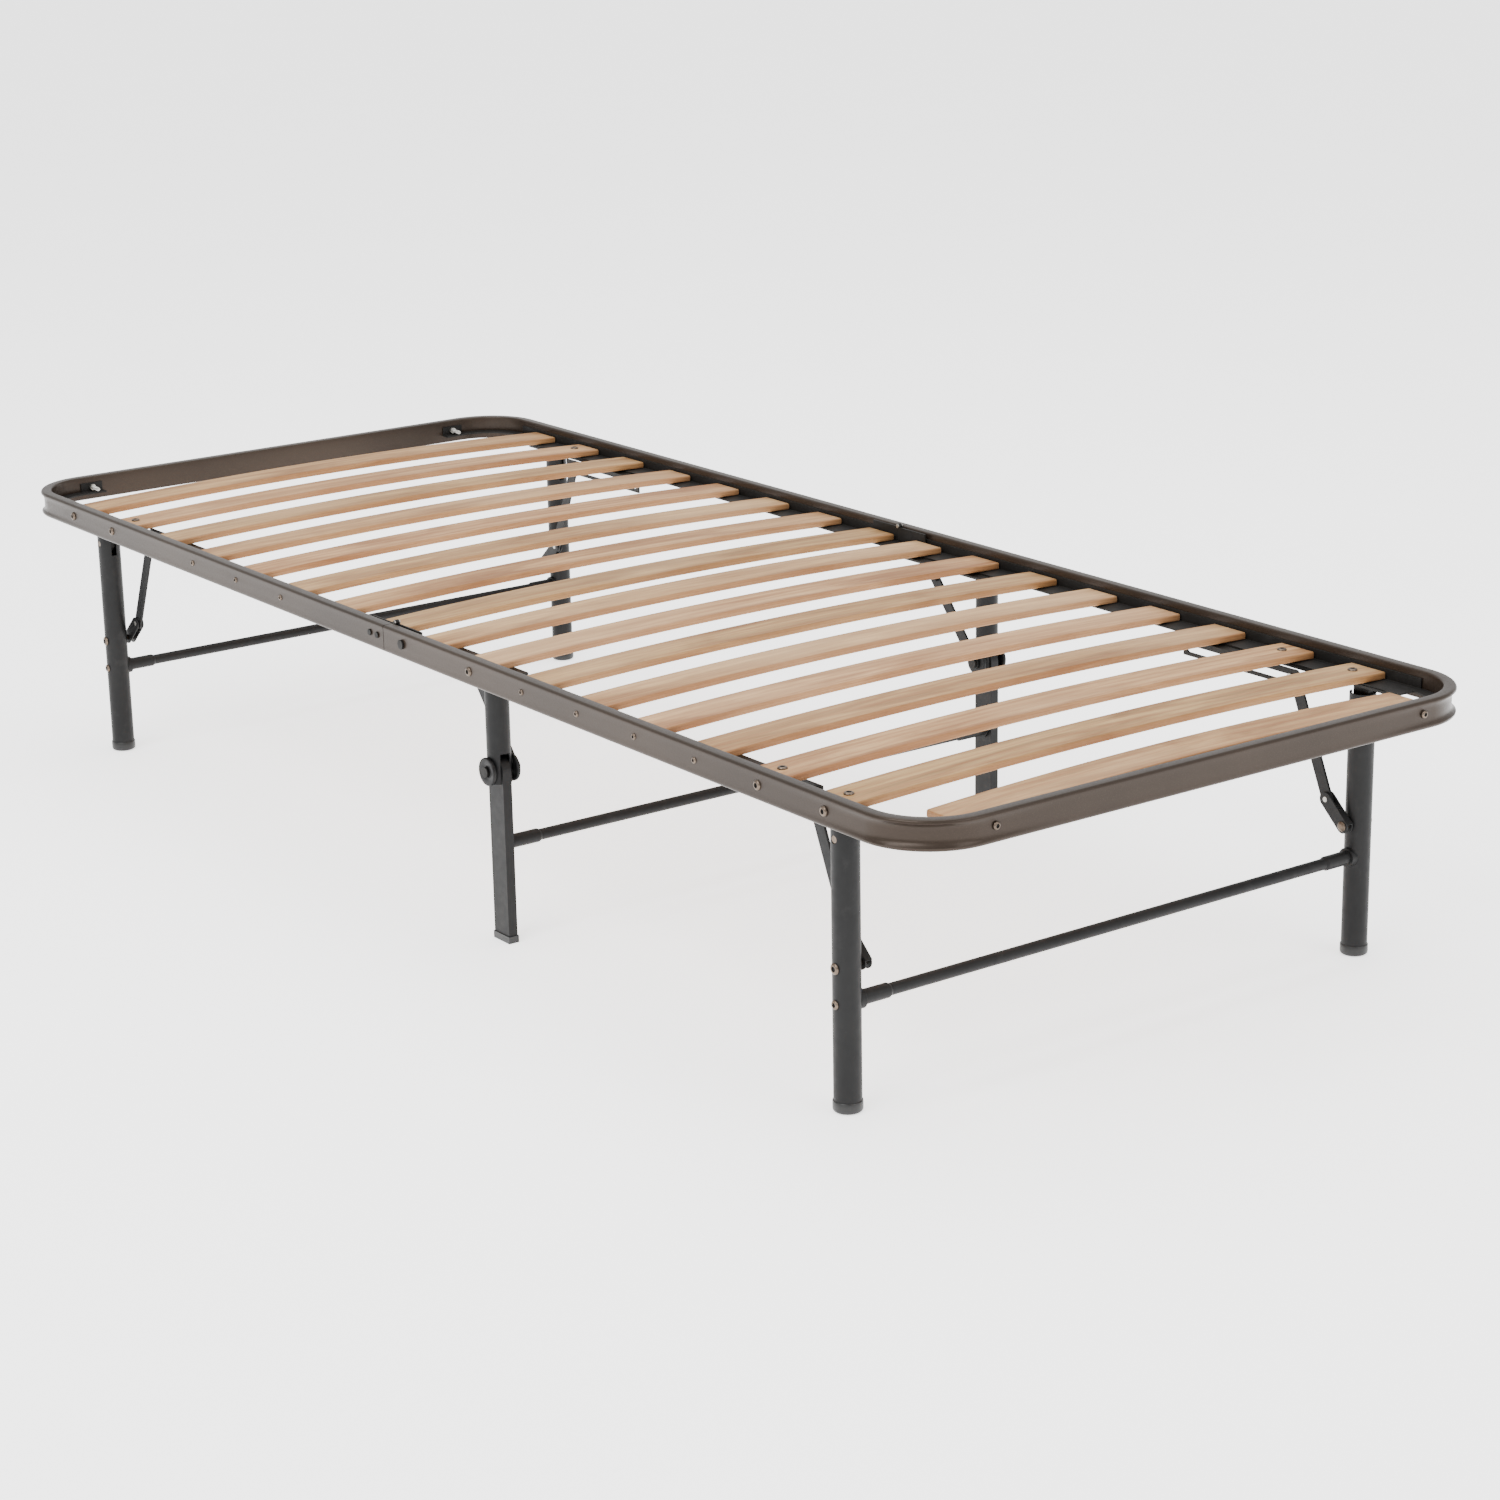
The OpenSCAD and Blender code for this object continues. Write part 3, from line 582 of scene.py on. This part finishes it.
def end_bolts(half_name, body, sign):
    """Through bolts in the end rail: a screw head outside, a nut and a threaded shank inside."""
    node = f"end_bolts_{half_name}"
    bm = bmesh.new()
    for lo, hi in islands(node):
        mid = (lo + hi) / 2
        skin = sign * (HALF_L - HEAD_SINK)
        tip = lo.x if sign > 0 else hi.x
        head_r = (hi.z - lo.z) / 2
        first = len(bm.faces)
        screw_head(bm, Vector((skin, mid.y, mid.z)), (sign, 0, 0), head_r * 0.93, BOLT_HEAD_H)
        # The head outside is duller than the nut: its plating takes the third material.
        bm.faces.ensure_lookup_table()
        for face in bm.faces[first:]:
            face.material_index = face.material_index or 2
        nut_at = Vector((sign * (HALF_L - RAIL_T - LIP_T), mid.y, mid.z))
        prism(bm, nut_at, (-sign, 0, 0), NUT_R, NUT_H, NUT_CHAMFER)
        reach = abs(nut_at.x - tip)
        profile, pitch, r = [(2.2 * MM, 0)], THREAD_PITCH, THREAD_R
        h = 0.0
        while h + pitch < reach - 0.6 * MM:
            profile += [(r, h + pitch * 0.35), (r, h + pitch * 0.5), (r * 0.86, h + pitch * 0.85)]
            h += pitch
        profile += [(r * 0.8, reach), (0, reach)]
        lathe(bm, profile, Matrix.Translation(nut_at) @ outward((-sign, 0, 0)), 20)
    obj = finish_mesh(f"end_rail_bolts_{half_name}", bm, [ZINC, RECESS_SHADE, DULL])
    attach(obj, body)
    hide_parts(node)


def slat_bolts(half_name, body):
    """Domed bolts down through the slats that the leg brackets hold."""
    node = f"bracket_bolts_{half_name}"
    bm = bmesh.new()
    shank, head = 2.5 * MM, 2.3 * MM
    for lo, hi in islands(node):
        mid, r, h = (lo + hi) / 2, (hi.x - lo.x) / 2, hi.z - lo.z
        screw_head(bm, Vector((mid.x, mid.y, hi.z - head)), (0, 0, 1), r, head)
        place = Matrix.Translation((mid.x, mid.y, lo.z))
        lathe(bm, [(0, 0), (shank * 0.8, 0), (shank, 0.6 * MM), (shank, h - head), (0, h - head)],
              place, 20)
    obj = finish_mesh(f"slat_bolts_{half_name}", bm, [DULL, RECESS_SHADE])
    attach(obj, body)
    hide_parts(node)


def leg_rivets(half_name, body):
    """Domed heads on both sides of each leg, with their shanks between."""
    node = f"{half_name}_leg_rivets"
    bm = bmesh.new()
    for lo, hi in islands(node):
        side = -1 if lo.y < 0 else 1
        mid = (lo + hi) / 2
        r = (hi.z - lo.z) / 2
        outer, inner = (lo.y, hi.y) if side < 0 else (hi.y, lo.y)
        long = hi.y - lo.y
        place = Matrix.Translation((mid.x, inner, mid.z)) @ outward((0, side, 0))
        has_heads = r > BIG_RIVET_R
        shank = 3.4 * MM if has_heads else r * 0.98
        head = 2.2 * MM if has_heads else 0.4 * MM
        lathe(bm, [(0, 0), (shank * 0.9, 0), (shank, 0.5 * MM), (shank, long - head), (0, long - head)],
              place, 20)
        if has_heads:
            screw_head(bm, Vector((mid.x, outer - side * head, mid.z)), (0, side, 0), r, head)
        if r > THROUGH_RIVET_R:
            base = Vector((mid.x, inner + side * INNER_RIVET_H, mid.z))
            dome(bm, base, (0, -side, 0), r * 0.95, INNER_RIVET_H)
    obj = finish_mesh(f"leg_rivet_heads_{half_name}", bm, [DULL, RECESS_SHADE])
    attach(obj, body)
    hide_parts(node)


def pivot_discs():
    """Thick rounded discs on both sides of each middle leg's folding pivot."""
    bm = bmesh.new()
    for lo, hi in islands("pivot_discs"):
        mid, r, t = (lo + hi) / 2, (hi.z - lo.z) / 2, hi.y - lo.y
        edge = DISC_EDGE_R
        rim = [(r - edge + edge * math.sin(a), edge - edge * math.cos(a))
               for a in (math.pi / 2 * k / 5 for k in range(6))]
        top = [(x, t - h) for x, h in reversed(rim)]
        face = [(r * 0.55, t), (r * 0.5, t - 0.5 * MM), (0, t - 0.5 * MM)]
        out = -1 if mid.y < 0 else 1
        place = Matrix.Translation((mid.x, mid.y - out * t / 2, mid.z)) @ outward((0, out, 0))
        lathe(bm, [(0, 0)] + rim + top + face, place, 40)
    obj = finish_mesh("rounded_pivot_discs", bm, [LEG_BLACK])
    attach(obj, "foot_frame")
    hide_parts("pivot_discs")


# ---- Leg caps ----

def leg_caps(half_name, body):
    """Caps with a rounded lower edge and a shallow hollow underneath."""
    node = f"leg_caps_{half_name}"
    bm = bmesh.new()
    for lo, hi in islands(node):
        mid, r, h = (lo + hi) / 2, (hi.x - lo.x) / 2, hi.z - lo.z
        place = Matrix.Translation((mid.x, mid.y, lo.z))
        edge = CAP_EDGE_R
        curve = [(r - edge + edge * math.sin(a), edge - edge * math.cos(a))
                 for a in (math.pi / 2 * k / 6 for k in range(7))]
        profile = [(0, 0.5 * MM), (r * 0.45, 0.5 * MM), (r * 0.5, 0)] + curve + [
            (r, h - 1.0 * MM), (r - 0.4 * MM, h - 0.25 * MM),
            (r - 0.9 * MM, h), (r - 1.6 * MM, h - 1.5 * MM)]
        lathe(bm, profile, place, 40)
    obj = finish_mesh(f"rounded_caps_{half_name}", bm, [CAP])
    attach(obj, body)
    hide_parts(node)


# ---- Stage, light and camera ----

def floor():
    bm = bmesh.new()
    bmesh.ops.create_grid(bm, x_segments=4, y_segments=4, size=40)
    obj = finish_mesh("floor", bm, [])
    obj.location.z = -0.0005
    n = Nodes("pale_floor")
    at = n.coords()
    shade = n.mix(n.ramp(n.noise(at, 2.0, 3.0), 0.3, 0.7), linear(249, 249, 249), linear(252, 252, 252))
    n.surface(shade, 0.9, 0.0, n.bump(n.noise(at, 300.0, 3.0), 0.02, 0.0005),
              Emission_Color=(1.0, 1.0, 1.0, 1.0), Emission_Strength=1.6)
    obj.data.materials.append(n.mat)


def area(name, at, aim, size, power):
    data = bpy.data.lights.new(name, "AREA")
    data.shape = "RECTANGLE"
    data.size, data.size_y = size
    data.energy = power
    obj = bpy.data.objects.new(name, data)
    bpy.context.scene.collection.objects.link(obj)
    obj.location = at
    obj.rotation_mode = "QUATERNION"
    obj.rotation_quaternion = (Vector(aim) - Vector(at)).to_track_quat("-Z", "Y")


def light():
    world = bpy.data.worlds.new("studio")
    bpy.context.scene.world = world
    world.use_nodes = True
    back = world.node_tree.nodes["Background"]
    back.inputs[0].default_value = (1.0, 1.0, 1.0, 1.0)
    back.inputs[1].default_value = 1.2
    area("key", (1.2, -3.2, 3.6), (0, 0, 0.2), (3.0, 2.0), 160)
    area("fill", (4.0, 1.0, 2.6), (0.3, 0, 0.2), (2.5, 2.0), 60)
    area("top", (-0.5, 0.5, 4.2), (0, 0, 0.3), (4.0, 3.0), 120)


def camera():
    """The line of sight's yaw, pitch and roll in degrees, a lens in millimetres and the eye's place."""
    yaw, pitch, roll = (math.radians(a) for a in (143.989, -16.995, -1.052))
    data = bpy.data.cameras.new("camera")
    data.sensor_width = 36
    data.lens = 82.1
    data.clip_start, data.clip_end = 0.05, 100
    obj = bpy.data.objects.new("camera", data)
    bpy.context.scene.collection.objects.link(obj)
    sight = Vector((math.cos(yaw) * math.cos(pitch), math.sin(yaw) * math.cos(pitch), math.sin(pitch)))
    right = Vector((math.sin(yaw), -math.cos(yaw), 0))
    up = right.cross(sight)
    c, s = math.cos(roll), math.sin(roll)
    right, up = right * c + up * s, up * c - right * s
    turn = Matrix((right, up, -sight)).transposed()
    obj.rotation_mode = "QUATERNION"
    obj.rotation_quaternion = turn.to_quaternion()
    obj.location = (3.2510, -2.2367, 1.3127)
    bpy.context.scene.camera = obj


HEAD_NODES = set(RECORD["behaviour"]["bodies"]["head_frame"])

paint_cad()
rail("bent_rail_foot", "foot_frame", "foot_rail", 1)
rail("bent_rail_head", "head_frame", "head_rail", -1)
for number in range(1, SLAT_COUNT + 1):
    slat(number)
slat_screws("head", "head_frame")
slat_screws("foot", "foot_frame")
for half, frame_body, leg_body, way in (("head", "head_frame", "head_legs", -1),
                                        ("foot", "foot_frame", "foot_legs", 1)):
    end_bolts(half, frame_body, way)
    slat_bolts(half, frame_body)
    leg_rivets(half, leg_body)
    leg_caps(half, leg_body)
pivot_discs()
floor()
light()
camera()
